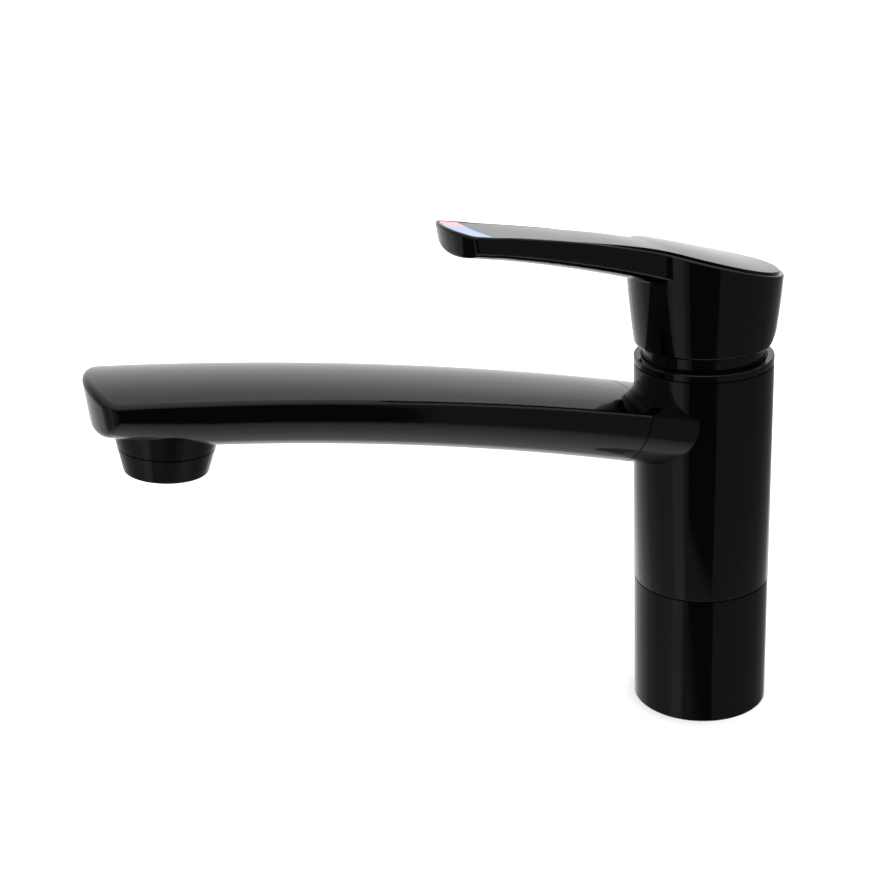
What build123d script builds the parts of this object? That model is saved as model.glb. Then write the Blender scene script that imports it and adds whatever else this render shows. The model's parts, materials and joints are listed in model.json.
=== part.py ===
from build123d import *
import math
import os

# Single-lever mixer tap with a swivelling sleeve and spout. Millimetres.
# Origin: centre of the base where it stands on the deck. +Z up, spout towards -Y,
# so a person at the tap has cold on the right (+X) and hot on the left (-X).

STANDING = (Align.CENTER, Align.CENTER, Align.MIN)
HANGING = (Align.CENTER, Align.CENTER, Align.MAX)

# --- Clearances ---------------------------------------------------------------
RUN = 0.05  # radial clearance of a running fit
SEAT = 0.02  # gap between pieces of one body that are pushed together
SEAM = 0.35  # visible seam between neighbouring outside pieces

# --- Base and column ----------------------------------------------------------
BODY_R = 23.0  # sleeve and top ring
BASE_R = 22.9
BASE_H = 45.6
CAVITY_R = 17.5  # open underside that the hoses enter
CAVITY_H = 72.0
PORT_X = 8.2  # hot and cold waterways, left and right of the middle
PORT_Y = 2.5
WATERWAY_R = 3.2
INLET_R = 4.5  # tapping size for M10 x 1
INLET_DEPTH = 12.0
STUD_Y = -9.0
STUD_R = 3.4  # tapping size for M8
STUD_DEPTH = 14.0
SEAL_GROOVE_R = 18.3  # deck seal, in a groove in the rim
SEAL_WIDTH = 3.2
SEAL_THICK = 1.6
COLUMN_R = 20.0
SHOULDER_Z = 123.75  # top ring rests here
THREAD_R = 19.3  # column above the shoulder, for the neck cover
COLUMN_TOP = 131.0
OUTLET_Y = -8.0
OUTLET_R = 3.4
CHANNEL_R = 16.5  # annular mixed-water channel
CHANNEL_Z = 99.3
CHANNEL_H = 7.0
ORING_R = 0.9
ORING_LOWER_Z = 94.0
ORING_UPPER_Z = 104.5

# --- Sleeve and swivel --------------------------------------------------------
SLEEVE_BOTTOM = 46.0
SLEEVE_TOP = 123.4
SLEEVE_BORE_R = 20.4
REBATE_R = 21.3
GLIDE_H = 4.0
GLIDE_FLANGE_R = 22.2
LIMITER_H = 4.2
SWIVEL_RANGE = 60.0  # degrees each way
LUG_ANGLE = 16.0
LUG_R = 21.0
LUG_Z = 50.6
LUG_H = 3.4

# --- Top ring and neck --------------------------------------------------------
RING_TOP = 126.1
RING_LIP_T = 0.85
NECK_R = 20.3
NECK_GAP = 0.25
PIVOT_Z = 133.0
NECK_TOP = 139.0
NECK_WALL = 1.6
NECK_OPENING_R = 13.5

# --- Spout --------------------------------------------------------------------
EDGE_Z0 = 107.65  # height of the spout's top edges, carried back to the axis
EDGE_SLOPE = 0.277
EDGE_BOW = 0.000447
SPOUT_REACH = 200.6
SPOUT_HALF_ROOT = 20.0
SPOUT_HALF_TIP = 20.4
SPOUT_CROWN = 2.7
SPOUT_SIDE = 2.8  # upright strip below each top edge
TIP_DEPTH = 18.2
UPSWEEP_LENGTH = 35.6  # the underside sweeps up over this last stretch
UPSWEEP = 0.0044
ROOT_SWELL = 0.00012  # extra depth towards the root, per mm squared
SPOUT_STATIONS = (0.075, 0.15, 0.27, 0.40, 0.52, 0.65, 0.75, 0.81, 0.85, 0.89, 0.93, 0.97, 1.007)
SPOUT_WALL = 2.4
SPOUT_END_WALL = 6.0
SEAM_REACH = 27.3  # where the spout meets the stub, along the top edge
STUB_FILLET = 2.0
END_ARC_R = 50.0
END_CORNER_R = 6.0
END_LEAN = 4.0  # degrees the end face leans back towards its bottom edge
END_TOP_FILLET = 1.9
END_BOTTOM_FILLET = 3.2

# --- Joint between stub and spout --------------------------------------------
NIPPLE_DROP = 11.5  # nipple axis below the spout's top edge, in the seam plane
NIPPLE_R = 6.0
NIPPLE_BORE_R = 4.0
NIPPLE_BACK = 7.0
NIPPLE_FRONT = 9.0
NIPPLE_ORING_R = 0.6
NIPPLE_ORING_AT = 2.4
PASSAGE_R = 3.0
PASSAGE_REACH = 25.5
SET_SCREW_R = 2.0
SET_SCREW_LENGTH = 2.8
SET_SCREW_AT = 6.0
SET_SCREW_SOCKET_R = 1.0

# --- Aerator ------------------------------------------------------------------
OUTLET_BACK = 22.3  # centre of the seam between spout and aerator, back from the end
OUTLET_DROP = 19.13  # and down from the top edges
OUTLET_TILT = 6.5  # degrees, the mouth leans away from the body
CONE_TAPER = 0.257
CONE_R = 14.8  # at the seam
COLLAR_H = 10.0
OUTLET_BOSS_R = 14.0
OUTLET_BOSS_H = 8.5
OUTLET_SEAT_R = 8.5
AERATOR_H = 8.1
AERATOR_THREAD_R = 11.4
AERATOR_THREAD_H = 5.0
AERATOR_BORE_R = 10.2
AERATOR_LIP_R = 9.4
AERATOR_LIP_H = 1.2
AERATOR_FILLET = 0.8
WASHER_T = 1.5
WASHER_BORE_R = 7.5
INSERT_R = 10.1
INSERT_H = 9.0
INSERT_HOLE_R = 1.3
INSERT_HOLE_PITCH = 3.4
INSERT_GRID_T = 3.0

# --- Cartridge ----------------------------------------------------------------
CUP_R = 17.75
CUP_FLOOR = 106.5
NUT_THREAD_R = 18.0
NUT_Z = 127.3
NUT_H = 7.0
CART_R = 17.5
CART_SEAL_T = 0.5
CART_BASE_H = 3.5
CART_NECK_R = 15.2
CART_TOP = 136.6
CART_BORE_R = 14.7
CART_CEILING = 130.0
CART_MOUTH_R = 10.9
CART_SEAL_WIDTH = 1.6
CART_SEAL_RISE = 0.6
CART_WEB_R = 8.0
PEG_R = 1.2
PEG_PLACES = ((-9.5, -9.0), (9.5, -9.0))
PEG_LENGTH = 2.0
FIXED_DISC_R = 14.0
DISC_T = 3.0
DISC_HOLE_R = 2.6
MOVING_DISC_R = 10.5
DISC_OFFSET = 2.5  # moving disc sits this far behind the axis when shut
DISC_GAP = 0.03
CHAMBER_DEPTH = 1.8
NOTCH = 3.0
LUG_PLAY = 0.1
CARRIER_H = 5.3
BALL_R = 3.0
BALL_DROP = 12.5  # ball centre below the pivot
BALL_PLAY = 0.3
ROTOR_FLANGE_Z = 122.1
ROTOR_TOP = 137.6
ROTOR_SLOT_X = 7.0
ROTOR_SLOT_Y = 17.0
PIN_R = 1.7
STEM_X = 6.6
STEM_Y = 8.0
STEM_FOOT_Z = 123.5
STEM_NECK_R = 2.2
STEM_SQUARE = 8.0
STEM_SQUARE_Z = 141.5
STEM_TOP = 150.0

# --- Handle -------------------------------------------------------------------
HANDLE_TURN = 9.0  # degrees towards cold at rest
BARREL_BOTTOM = 131.1
BARREL_R = (22.9, 25.1, 25.8)  # radius at the three heights below
BARREL_Z = (131.1, 152.0, 172.0)
BARREL_BORE_R = 21.6
BARREL_CEILING = 149.5
HEEL_R = 25.3  # round cut that lets the heel dip when the lever is lifted
HEEL_Z = 154.0
BOSS_R = 7.5
BOSS_BOTTOM = 145.5
BAR_HALF = 11.7
BAR_TIP_HALF = 12.9
FLARE_START = 76.0
FLARE_END = 84.0
LEVER_REACH = 93.4
WAIST_R = 10.5
WAIST_DISC_R = 24.8  # barrel radius that the waist runs out to
LEVER_END_R = 31.0
PLATE_CORNER_R = 1.5
LEVER_END_LEAN = 8.0
LEVER_END_FILLET = 1.5  # round the end face, down one side, under and up the other
BAR_STATIONS = (19.3, 20.5, 22.0, 24.0, 26.0, 28.0, 32.0, 38.0, 45.0, 52.0, 58.0, 63.0)
TIP_STATIONS = (68.0, 72.0, 74.0, 76.0, 78.0, 80.0, 82.0, 84.0, 86.0, 89.0, 92.0, 95.0, 98.0)
SIDE_Z0 = 150.27  # lower edge of the bar's upright sides, carried back to the axis
SIDE_SLOPE = 0.4015
SIDE_BOW = 0.001057
BELLY_TIP = 3.8  # depth of the rounded belly near the end
BELLY_GROWTH = 0.01
TOP_EDGE_FILLET = 0.8
RIM = 1.4  # rim of the handle outside the plate's recess
END_RIM = 1.5
GROOVE = 0.35
PLATE_T = 0.9
PLATE_SINK = 0.1
PLATE_DISC_R = 23.5
PLATE_WAIST_R = 11.5
TOP_LINE = ((-30.0, 151.8), (0.0, 159.2), (20.7, 165.75), (46.0, 172.7), (69.0, 177.95), (96.0, 183.5))
SCREW_HEAD_R = 4.2
SCREW_HEAD_H = 3.4
SCREW_SHANK_R = 2.4
SCREW_SEAT_Z = 153.5
SCREW_BOTTOM = 141.5
SCREW_HOLE_PLAY = 0.3
MARK_REACH = 84.7  # inner edge of the hot and cold marks, on the centre line
MARK_EDGE_R = 56.0
MARK_SPLIT = -3.0  # line between the two marks
MARK_T = 0.4


# --- Helpers ------------------------------------------------------------------
def turned(*corners):
    """Solid of revolution about Z from (radius, height) corners."""
    outline = Polyline(*[(r, 0, z) for r, z in corners], close=True)
    return revolve(make_face(outline), Axis.Z)


def ring(r_in, r_out, z_low, z_high):
    return turned((r_in, z_low), (r_out, z_low), (r_out, z_high), (r_in, z_high))


def rod(radius, z_low, z_high, x=0.0, y=0.0):
    """Upright cylinder between two heights."""
    return Pos(x, y, z_low) * Cylinder(radius, z_high - z_low, align=STANDING)


def bore_between(start, end, radius):
    """Cylinder from one point to another."""
    direction = Vector(*end) - Vector(*start)
    plane = Plane(origin=start, z_dir=direction)
    return plane * Cylinder(radius, direction.length, align=STANDING)


def o_ring(radius, section, z):
    return Pos(0, 0, z) * Torus(radius, section)


# --- Spout form ---------------------------------------------------------------
def edge_height(reach):
    """Height of the spout's two top edges at a distance from the body's axis."""
    return EDGE_Z0 + EDGE_SLOPE * reach - EDGE_BOW * reach**2


def edge_angle(reach):
    return math.degrees(math.atan(EDGE_SLOPE - 2 * EDGE_BOW * reach))


def spout_section(reach, skin=0.0):
    """Upright D-shaped slice: crowned top, short upright sides, half-round bowl."""
    share = reach / SPOUT_REACH
    half = SPOUT_HALF_ROOT + (SPOUT_HALF_TIP - SPOUT_HALF_ROOT) * share - skin
    edge = edge_height(reach) - skin
    depth = TIP_DEPTH + ROOT_SWELL * (SPOUT_REACH - reach) ** 2 - 2 * skin
    depth -= UPSWEEP * max(0.0, reach - SPOUT_REACH + UPSWEEP_LENGTH) ** 2
    bowl = depth - SPOUT_SIDE
    plane = Plane(origin=(0, -reach, 0), x_dir=(1, 0, 0), z_dir=(0, -1, 0))
    crown = ThreePointArc((-half, edge), (0, edge + SPOUT_CROWN), (half, edge))
    side = Line((half, edge), (half, edge - SPOUT_SIDE))
    bottom = EllipticalCenterArc((0, edge - SPOUT_SIDE), half, bowl, start_angle=180, arc_size=180)
    other = Line((-half, edge - SPOUT_SIDE), (-half, edge))
    return plane * make_face([crown, side, bottom, other])


def spout_form(start, end, skin=0.0):
    """Loft between two distances from the axis, with closer slices where the underside sweeps up."""
    stations = [share * SPOUT_REACH for share in SPOUT_STATIONS]
    between = [r for r in stations if start + 3 < r < end - 3]
    return loft([spout_section(r, skin) for r in (start, *between, end)])


def seam_plane():
    """Plane of the joint between stub and spout, square to the top edge there."""
    lean = math.radians(edge_angle(SEAM_REACH))
    along = (0, -math.cos(lean), math.sin(lean))
    return Plane(origin=(0, -SEAM_REACH, edge_height(SEAM_REACH)), x_dir=(1, 0, 0), z_dir=along)


def nipple_plane():
    """Seam plane moved down to the nipple's axis."""
    plane = seam_plane()
    return Plane(origin=plane.origin - plane.y_dir * NIPPLE_DROP, x_dir=(1, 0, 0), z_dir=plane.z_dir)


def past_end(half, reach, arc_r, lean, top, corner_r=0.0):
    """Everything past an end face: a shallow arc in plan, leaning back below."""
    sag = arc_r - math.sqrt(arc_r**2 - half**2)
    back = reach - 40.0
    corner = reach - sag
    outline = make_face([
        Line((-half, -back), (half, -back)),
        Line((half, -back), (half, -corner)),
        ThreePointArc((half, -corner), (0, -reach), (-half, -corner)),
        Line((-half, -corner), (-half, -back)),
    ])
    if corner_r:
        outline = fillet(outline.vertices().filter_by(lambda v: v.Y < -back - 1), corner_r)
    angle = math.radians(lean)
    keep = extrude(Pos(0, 0, top) * outline, 40, dir=(0, math.sin(angle), -math.cos(angle)))
    block = Pos(0, -back - 5, top) * Box(80, 120, 120, align=(Align.CENTER, Align.MAX, Align.CENTER))
    return block - keep


def half_space(plane, offset):
    """Big block on the far side of a plane."""
    size = 3 * SPOUT_REACH
    return plane * Pos(0, 0, offset) * Box(size, size, size, align=STANDING)


def along_nipple(radius, start, end):
    return nipple_plane() * rod(radius, start, end)


# --- Fixed body ---------------------------------------------------------------
def base_body():
    body = turned(
        (0, 0),
        (BASE_R, 0),
        (BASE_R, BASE_H),
        (COLUMN_R, BASE_H),
        (COLUMN_R, SHOULDER_Z),
        (THREAD_R, SHOULDER_Z),
        (THREAD_R, COLUMN_TOP),
        (0, COLUMN_TOP),
    )
    lug = ring(COLUMN_R - 1, LUG_R, LUG_Z, LUG_Z + LUG_H)
    wedge = Rot(Z=90 - LUG_ANGLE / 2) * ring_sector(LUG_R + 1, LUG_ANGLE, LUG_Z, LUG_Z + LUG_H)
    body += lug & wedge

    body -= rod(CAVITY_R, 0, CAVITY_H)
    for side in (-1, 1):
        body -= rod(INLET_R, CAVITY_H, CAVITY_H + INLET_DEPTH, side * PORT_X, PORT_Y)
        body -= rod(WATERWAY_R, CAVITY_H, CUP_FLOOR, side * PORT_X, PORT_Y)
    for x, y in PEG_PLACES:
        body -= rod(PEG_R + RUN, CUP_FLOOR - PEG_LENGTH, CUP_FLOOR, x, y)
    body -= rod(STUD_R, CAVITY_H, CAVITY_H + STUD_DEPTH, 0, STUD_Y)
    body -= ring(SEAL_GROOVE_R, SEAL_GROOVE_R + SEAL_WIDTH, 0, SEAL_THICK)

    body -= rod(CUP_R, CUP_FLOOR, COLUMN_TOP)
    body -= rod(NUT_THREAD_R, NUT_Z - 1, COLUMN_TOP)
    body -= rod(OUTLET_R, CHANNEL_Z, CUP_FLOOR, 0, OUTLET_Y)
    body -= bore_between((0, OUTLET_Y + OUTLET_R, CHANNEL_Z), (0, -CHANNEL_R - 1, CHANNEL_Z), OUTLET_R)
    body -= ring(CHANNEL_R, COLUMN_R + 1, CHANNEL_Z - CHANNEL_H / 2, CHANNEL_Z + CHANNEL_H / 2)
    groove = 1.1 * ORING_R
    for z in (ORING_LOWER_Z, ORING_UPPER_Z):
        body -= ring(SLEEVE_BORE_R - RUN - 2 * ORING_R, COLUMN_R + 1, z - groove, z + groove)
    return body


def ring_sector(radius, angle, z_low, z_high):
    """Solid wedge of a disc, from +X round towards +Y."""
    face = make_face([
        Line((0, 0), (radius, 0)),
        CenterArc((0, 0), radius, 0, angle),
        Line((radius * math.cos(math.radians(angle)), radius * math.sin(math.radians(angle))), (0, 0)),
    ])
    return Pos(0, 0, z_low) * extrude(face, z_high - z_low)


def deck_seal():
    return ring(SEAL_GROOVE_R + SEAT, SEAL_GROOVE_R + SEAL_WIDTH - SEAT, 0, SEAL_THICK - SEAT)


def column_seal(z):
    return o_ring(SLEEVE_BORE_R - RUN - ORING_R + SEAT, ORING_R - SEAT, z)


def top_ring():
    body = turned(
        (THREAD_R + SEAT, SHOULDER_Z),
        (BODY_R, SHOULDER_Z),
        (BODY_R, RING_TOP),
        (NECK_R + NECK_GAP, RING_TOP),
        (NECK_R + NECK_GAP, SHOULDER_Z + RING_LIP_T),
        (THREAD_R + SEAT, SHOULDER_Z + RING_LIP_T),
    )
    rims = body.edges().filter_by(GeomType.CIRCLE).filter_by(lambda e: e.center().Z > RING_TOP - 0.1)
    return fillet(rims, 0.4)


def neck_cover():
    """Screwed cover with a ball-shaped shoulder that the handle turns and tilts over."""
    top_r = math.sqrt(NECK_R**2 - (NECK_TOP - PIVOT_Z) ** 2)
    foot = SHOULDER_Z + RING_LIP_T + SEAT
    inner_r = CUP_R + 0.7
    mid = math.radians(0.5 * math.degrees(math.asin((NECK_TOP - PIVOT_Z) / NECK_R)))
    on_ball = (NECK_R * math.cos(mid), 0, PIVOT_Z + NECK_R * math.sin(mid))
    outline = [
        Line((THREAD_R + SEAT, 0, foot), (NECK_R, 0, foot)),
        Line((NECK_R, 0, foot), (NECK_R, 0, PIVOT_Z)),
        ThreePointArc((NECK_R, 0, PIVOT_Z), on_ball, (top_r, 0, NECK_TOP)),
        Polyline(
            (top_r, 0, NECK_TOP),
            (NECK_OPENING_R, 0, NECK_TOP),
            (NECK_OPENING_R, 0, NECK_TOP - NECK_WALL),
            (inner_r, 0, NECK_TOP - NECK_WALL),
            (inner_r, 0, COLUMN_TOP + SEAT),
            (THREAD_R + SEAT, 0, COLUMN_TOP + SEAT),
            (THREAD_R + SEAT, 0, foot),
        ),
    ]
    return revolve(make_face(outline), Axis.Z)


# --- Swivelling spout ---------------------------------------------------------
def spout_sleeve():
    tube = ring(0, BODY_R, SLEEVE_BOTTOM, SLEEVE_TOP)
    stub = spout_form(2.0, SEAM_REACH + 15.0) - half_space(seam_plane(), 0)
    sleeve = tube + stub
    crease = sleeve.edges().filter_by(
        lambda e: SLEEVE_BOTTOM + 5 < e.center().Z < SLEEVE_TOP - 5
        and all(abs(math.hypot(v.X, v.Y) - BODY_R) < 0.05 for v in (e @ 0, e @ 0.5, e @ 1))
        and e.geom_type == GeomType.BSPLINE
    )
    sleeve = fillet(crease, STUB_FILLET)
    sleeve -= rod(SLEEVE_BORE_R, SLEEVE_BOTTOM - 1, SLEEVE_TOP + 1)
    sleeve -= rod(REBATE_R, SLEEVE_BOTTOM - 1, SLEEVE_BOTTOM + GLIDE_H + LIMITER_H + 0.3)
    sleeve -= rod(REBATE_R, SLEEVE_TOP - GLIDE_H, SLEEVE_TOP + 1)
    sleeve -= along_nipple(NIPPLE_R + SEAT, -NIPPLE_BACK - SEAT, NIPPLE_BACK)
    sleeve -= bore_between((0, -CHANNEL_R, CHANNEL_Z), (0, -PASSAGE_REACH, CHANNEL_Z), PASSAGE_R)
    return sleeve


def glide_ring(collar_low, collar_high, flange_low, flange_high):
    """Plastic bearing in a rebate of the sleeve, with a thin flange that shows in the seam."""
    collar = ring(COLUMN_R + RUN, REBATE_R - SEAT, collar_low, collar_high)
    return collar + ring(COLUMN_R + RUN, GLIDE_FLANGE_R, flange_low, flange_high)


def lower_glide():
    low = BASE_H + RUN
    return glide_ring(low, SLEEVE_BOTTOM + GLIDE_H, low, SLEEVE_BOTTOM - SEAT)


def upper_glide():
    high = SHOULDER_Z - RUN
    return glide_ring(SLEEVE_TOP - GLIDE_H + SEAT, high, SLEEVE_TOP + SEAT, high)


def swivel_limiter():
    """C-shaped ring: its ends meet the column's lug at the ends of the swivel."""
    low = SLEEVE_BOTTOM + GLIDE_H + 2 * SEAT
    body = ring(COLUMN_R + 2 * RUN, REBATE_R - SEAT, low, low + LIMITER_H)
    opening = 2 * SWIVEL_RANGE + LUG_ANGLE + 2.0
    return body - Rot(Z=90 - opening / 2) * ring_sector(BODY_R, opening, low - 1, low + LIMITER_H + 1)


def round_end(shell):
    """Fillets round the end face: generous below, small along the crown."""
    edge = edge_height(SPOUT_REACH)
    end_edges = shell.edges().filter_by(lambda e: -e.center().Y > SPOUT_REACH - 8)
    below = end_edges.filter_by(lambda e: min((e @ 0).Z, (e @ 0.5).Z) < edge - SPOUT_SIDE and e.length > 7.5)
    shell = fillet(below.filter_by(lambda e: abs((e @ 0).X - (e @ 1).X) > 2), END_BOTTOM_FILLET)
    crown = shell.edges().filter_by(lambda e: -e.center().Y > SPOUT_REACH - 8 and e.center().Z > edge - 1)
    return fillet(crown, END_TOP_FILLET)


def outlet_plane():
    """Seam plane of the aerator: +Z points up into the spout."""
    lean = math.radians(OUTLET_TILT)
    upward = (0, math.sin(lean), math.cos(lean))
    reach = SPOUT_REACH - OUTLET_BACK
    return Plane(origin=(0, -reach, edge_height(reach) - OUTLET_DROP), x_dir=(1, 0, 0), z_dir=upward)


def spout_shell():
    form = spout_form(SEAM_REACH - 15.0, SPOUT_REACH + 10.0)
    top = edge_height(SPOUT_REACH) + SPOUT_CROWN
    end = past_end(SPOUT_HALF_TIP, SPOUT_REACH, END_ARC_R, END_LEAN, top, END_CORNER_R)
    shell = (form & half_space(seam_plane(), SEAM)) - end
    shell = round_end(shell)
    collar_r = CONE_R + CONE_TAPER * COLLAR_H
    shell += outlet_plane() * turned((0, 0), (CONE_R, 0), (collar_r, COLLAR_H), (0, COLLAR_H))
    root = SEAM_REACH + NIPPLE_FRONT + SPOUT_WALL
    shell -= spout_form(root, SPOUT_REACH - SPOUT_END_WALL, SPOUT_WALL)
    shell += outlet_plane() * rod(OUTLET_BOSS_R, 1, OUTLET_BOSS_H)
    shell -= outlet_plane() * rod(AERATOR_THREAD_R + SEAT, -1, AERATOR_THREAD_H + WASHER_T + 2 * SEAT)
    shell -= outlet_plane() * rod(OUTLET_SEAT_R, 0, OUTLET_BOSS_H + 1)
    shell -= along_nipple(NIPPLE_R + SEAT, -1, NIPPLE_FRONT + 6)
    shell -= set_screw_place() * rod(SET_SCREW_R + SEAT, 0, 2 * NIPPLE_DROP)
    return shell


def set_screw_place():
    """Local +Z runs from the nipple's axis down through the spout's underside."""
    plane = nipple_plane()
    return Plane(origin=plane.origin + plane.z_dir * SET_SCREW_AT, x_dir=(1, 0, 0), z_dir=-plane.y_dir)


def spout_nipple():
    body = along_nipple(NIPPLE_R, -NIPPLE_BACK, NIPPLE_FRONT) - along_nipple(NIPPLE_BORE_R, -20, 20)
    half = 1.1 * NIPPLE_ORING_R
    floor_r = NIPPLE_R - 2 * NIPPLE_ORING_R + SEAT
    groove = ring(floor_r, NIPPLE_R + 1, NIPPLE_ORING_AT - half, NIPPLE_ORING_AT + half)
    return body - nipple_plane() * groove


def nipple_seal():
    return nipple_plane() * o_ring(NIPPLE_R - NIPPLE_ORING_R + SEAT, NIPPLE_ORING_R - SEAT, NIPPLE_ORING_AT)


def spout_set_screw():
    top = NIPPLE_R + SEAT
    screw = rod(SET_SCREW_R, top, top + SET_SCREW_LENGTH)
    socket = extrude(RegularPolygon(SET_SCREW_SOCKET_R, 6), SET_SCREW_LENGTH)
    return set_screw_place() * (screw - Pos(0, 0, top + SET_SCREW_LENGTH / 2) * socket)


def aerator_housing():
    low_r = CONE_R - CONE_TAPER * AERATOR_H
    body = turned(
        (AERATOR_LIP_R, -AERATOR_H),
        (low_r, -AERATOR_H),
        (CONE_R - CONE_TAPER * SEAM, -SEAM),
        (AERATOR_THREAD_R, -SEAM),
        (AERATOR_THREAD_R, AERATOR_THREAD_H),
        (AERATOR_BORE_R, AERATOR_THREAD_H),
        (AERATOR_BORE_R, AERATOR_LIP_H - AERATOR_H),
        (AERATOR_LIP_R, AERATOR_LIP_H - AERATOR_H),
    )
    rim = body.edges().filter_by(GeomType.CIRCLE).filter_by(
        lambda e: abs(e.radius - low_r) < 0.01
    )
    return outlet_plane() * fillet(rim, AERATOR_FILLET)


def aerator_insert():
    """Plastic jet insert: a ring with a grid of holes at the mouth."""
    low = AERATOR_LIP_H - AERATOR_H + SEAT
    body = rod(INSERT_R, low, low + INSERT_H) - rod(INSERT_R - 1.2, low + INSERT_GRID_T, low + INSERT_H + 1)
    for x, y in hex_grid(INSERT_HOLE_PITCH, AERATOR_LIP_R - INSERT_HOLE_R - 0.4):
        body -= rod(INSERT_HOLE_R, low - 1, low + INSERT_GRID_T + 1, x, y)
    return outlet_plane() * body


def hex_grid(pitch, reach):
    """Centres of a triangular grid inside a circle."""
    row = pitch * math.sqrt(3) / 2
    count = int(reach / pitch) + 2
    for j in range(-count, count + 1):
        for i in range(-count, count + 1):
            x = (i + 0.5 * (j % 2)) * pitch
            y = j * row
            if math.hypot(x, y) <= reach:
                yield x, y


def aerator_washer():
    low = AERATOR_THREAD_H + SEAT
    return outlet_plane() * ring(WASHER_BORE_R, AERATOR_THREAD_R - SEAT, low, low + WASHER_T)


# --- Cartridge ----------------------------------------------------------------
def port_places():
    """(x, y, hole radius) of the two inlets and the outlet in the cup's floor."""
    return ((-PORT_X, PORT_Y, WATERWAY_R), (PORT_X, PORT_Y, WATERWAY_R), (0, OUTLET_Y, OUTLET_R))


def cartridge_seal():
    """One moulded seal: three rings joined by a thin web."""
    top = CUP_FLOOR + CART_SEAL_T
    body = rod(CART_WEB_R, CUP_FLOOR, top - SEAT)
    for x, y, r in port_places():
        body += rod(r + 0.1 + CART_SEAL_WIDTH, CUP_FLOOR, top + CART_SEAL_RISE - SEAT, x, y)
    for x, y, r in port_places():
        body -= rod(r + 0.1, CUP_FLOOR - 1, top + 1, x, y)
    return body


def cartridge_base():
    low = CUP_FLOOR + CART_SEAL_T
    body = rod(CART_R - 0.1, low, low + CART_BASE_H)
    for x, y, r in port_places():
        body -= rod(r, low - 1, low + CART_BASE_H + 1, x, y)
        body -= rod(r + 0.15 + CART_SEAL_WIDTH, low - 1, low + CART_SEAL_RISE, x, y)
    for x, y in PEG_PLACES:
        body += rod(PEG_R, CUP_FLOOR - PEG_LENGTH + 0.2, low, x, y)
    return body


def cartridge_body():
    low = CUP_FLOOR + CART_SEAL_T + CART_BASE_H + SEAT
    body = turned(
        (CART_BORE_R, low),
        (CART_R, low),
        (CART_R, NUT_Z - SEAT),
        (CART_NECK_R, NUT_Z - SEAT),
        (CART_NECK_R, CART_TOP),
        (CART_MOUTH_R, CART_TOP),
        (CART_MOUTH_R, CART_CEILING),
        (CART_BORE_R, CART_CEILING),
    )
    return body


def cartridge_nut():
    body = ring(CART_NECK_R + SEAT, NUT_THREAD_R - SEAT, NUT_Z, NUT_Z + NUT_H)
    slot = Box(3.0, 2 * NUT_THREAD_R + 2, 2.4)
    for turn in (0, 90):
        body -= Pos(0, 0, NUT_Z + NUT_H) * Rot(Z=turn) * slot
    return body


def fixed_disc_z():
    return CUP_FLOOR + CART_SEAL_T + CART_BASE_H + SEAT


def fixed_disc():
    low = fixed_disc_z()
    body = rod(FIXED_DISC_R, low, low + DISC_T)
    for x, y, _ in port_places():
        body -= rod(DISC_HOLE_R, low - 1, low + DISC_T + 1, x, y)
    return body


def notches(play):
    """Two driving notches at the sides of the moving disc."""
    size = NOTCH - 2 * play
    low = fixed_disc_z() + DISC_T + DISC_GAP
    block = Box(size, size, DISC_T / 2, align=HANGING)
    top = low + DISC_T - SEAT
    return [Pos(side * (MOVING_DISC_R - 1.0), DISC_OFFSET, top) * block for side in (-1, 1)]


def moving_disc():
    low = fixed_disc_z() + DISC_T + DISC_GAP
    body = rod(MOVING_DISC_R, low, low + DISC_T - SEAT, 0, DISC_OFFSET)
    chamber = extrude(SlotOverall(13.0, 6.5), CHAMBER_DEPTH)
    body -= Pos(0, DISC_OFFSET - 3.0, low) * chamber
    for notch in notches(0):
        body -= notch
    return body


def disc_carrier():
    low = fixed_disc_z() + 2 * DISC_T + DISC_GAP
    body = rod(MOVING_DISC_R, low, low + CARRIER_H, 0, DISC_OFFSET)
    for lug in notches(LUG_PLAY):
        body += (lug & rod(MOVING_DISC_R, low - DISC_T, low + 1, 0, DISC_OFFSET)) + Pos(0, 0, 0.1) * (
            lug & rod(MOVING_DISC_R, low - DISC_T, low + 1, 0, DISC_OFFSET)
        )
    socket_low = PIVOT_Z - BALL_DROP - BALL_R - BALL_PLAY
    body -= rod(BALL_R + BALL_PLAY, socket_low, low + CARRIER_H + 1)
    return body


def rotor():
    """Turns with the handle inside the cartridge and carries the lever's pivot pin."""
    neck_r = CART_MOUTH_R - RUN
    body = rod(CART_BORE_R - RUN, ROTOR_FLANGE_Z, CART_CEILING - RUN) + rod(neck_r, ROTOR_FLANGE_Z, ROTOR_TOP)
    height = ROTOR_TOP - ROTOR_FLANGE_Z + 2
    slot = Box(ROTOR_SLOT_X, ROTOR_SLOT_Y, height, align=STANDING)
    body -= Pos(0, 0, ROTOR_FLANGE_Z - 1) * slot
    return body - bore_between((-BODY_R, 0, PIVOT_Z), (BODY_R, 0, PIVOT_Z), PIN_R)


def pivot_pin():
    half = CART_MOUTH_R - 0.6
    return bore_between((-half, 0, PIVOT_Z), (half, 0, PIVOT_Z), PIN_R - SEAT)


def stem():
    ball_z = PIVOT_Z - BALL_DROP
    body = Pos(0, 0, ball_z) * Sphere(BALL_R)
    body += rod(STEM_NECK_R, ball_z, STEM_FOOT_Z + 1)
    middle = Box(STEM_X, STEM_Y, STEM_SQUARE_Z - STEM_FOOT_Z, align=STANDING)
    body += Pos(0, 0, STEM_FOOT_Z) * middle
    head = Box(STEM_SQUARE, STEM_SQUARE, STEM_TOP - STEM_SQUARE_Z, align=STANDING)
    body += Pos(0, 0, STEM_SQUARE_Z) * head
    body -= bore_between((-BODY_R, 0, PIVOT_Z), (BODY_R, 0, PIVOT_Z), PIN_R - SEAT + RUN)
    return body - rod(SCREW_SHANK_R + SEAT, SCREW_BOTTOM - 0.5, STEM_TOP + 1)


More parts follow.
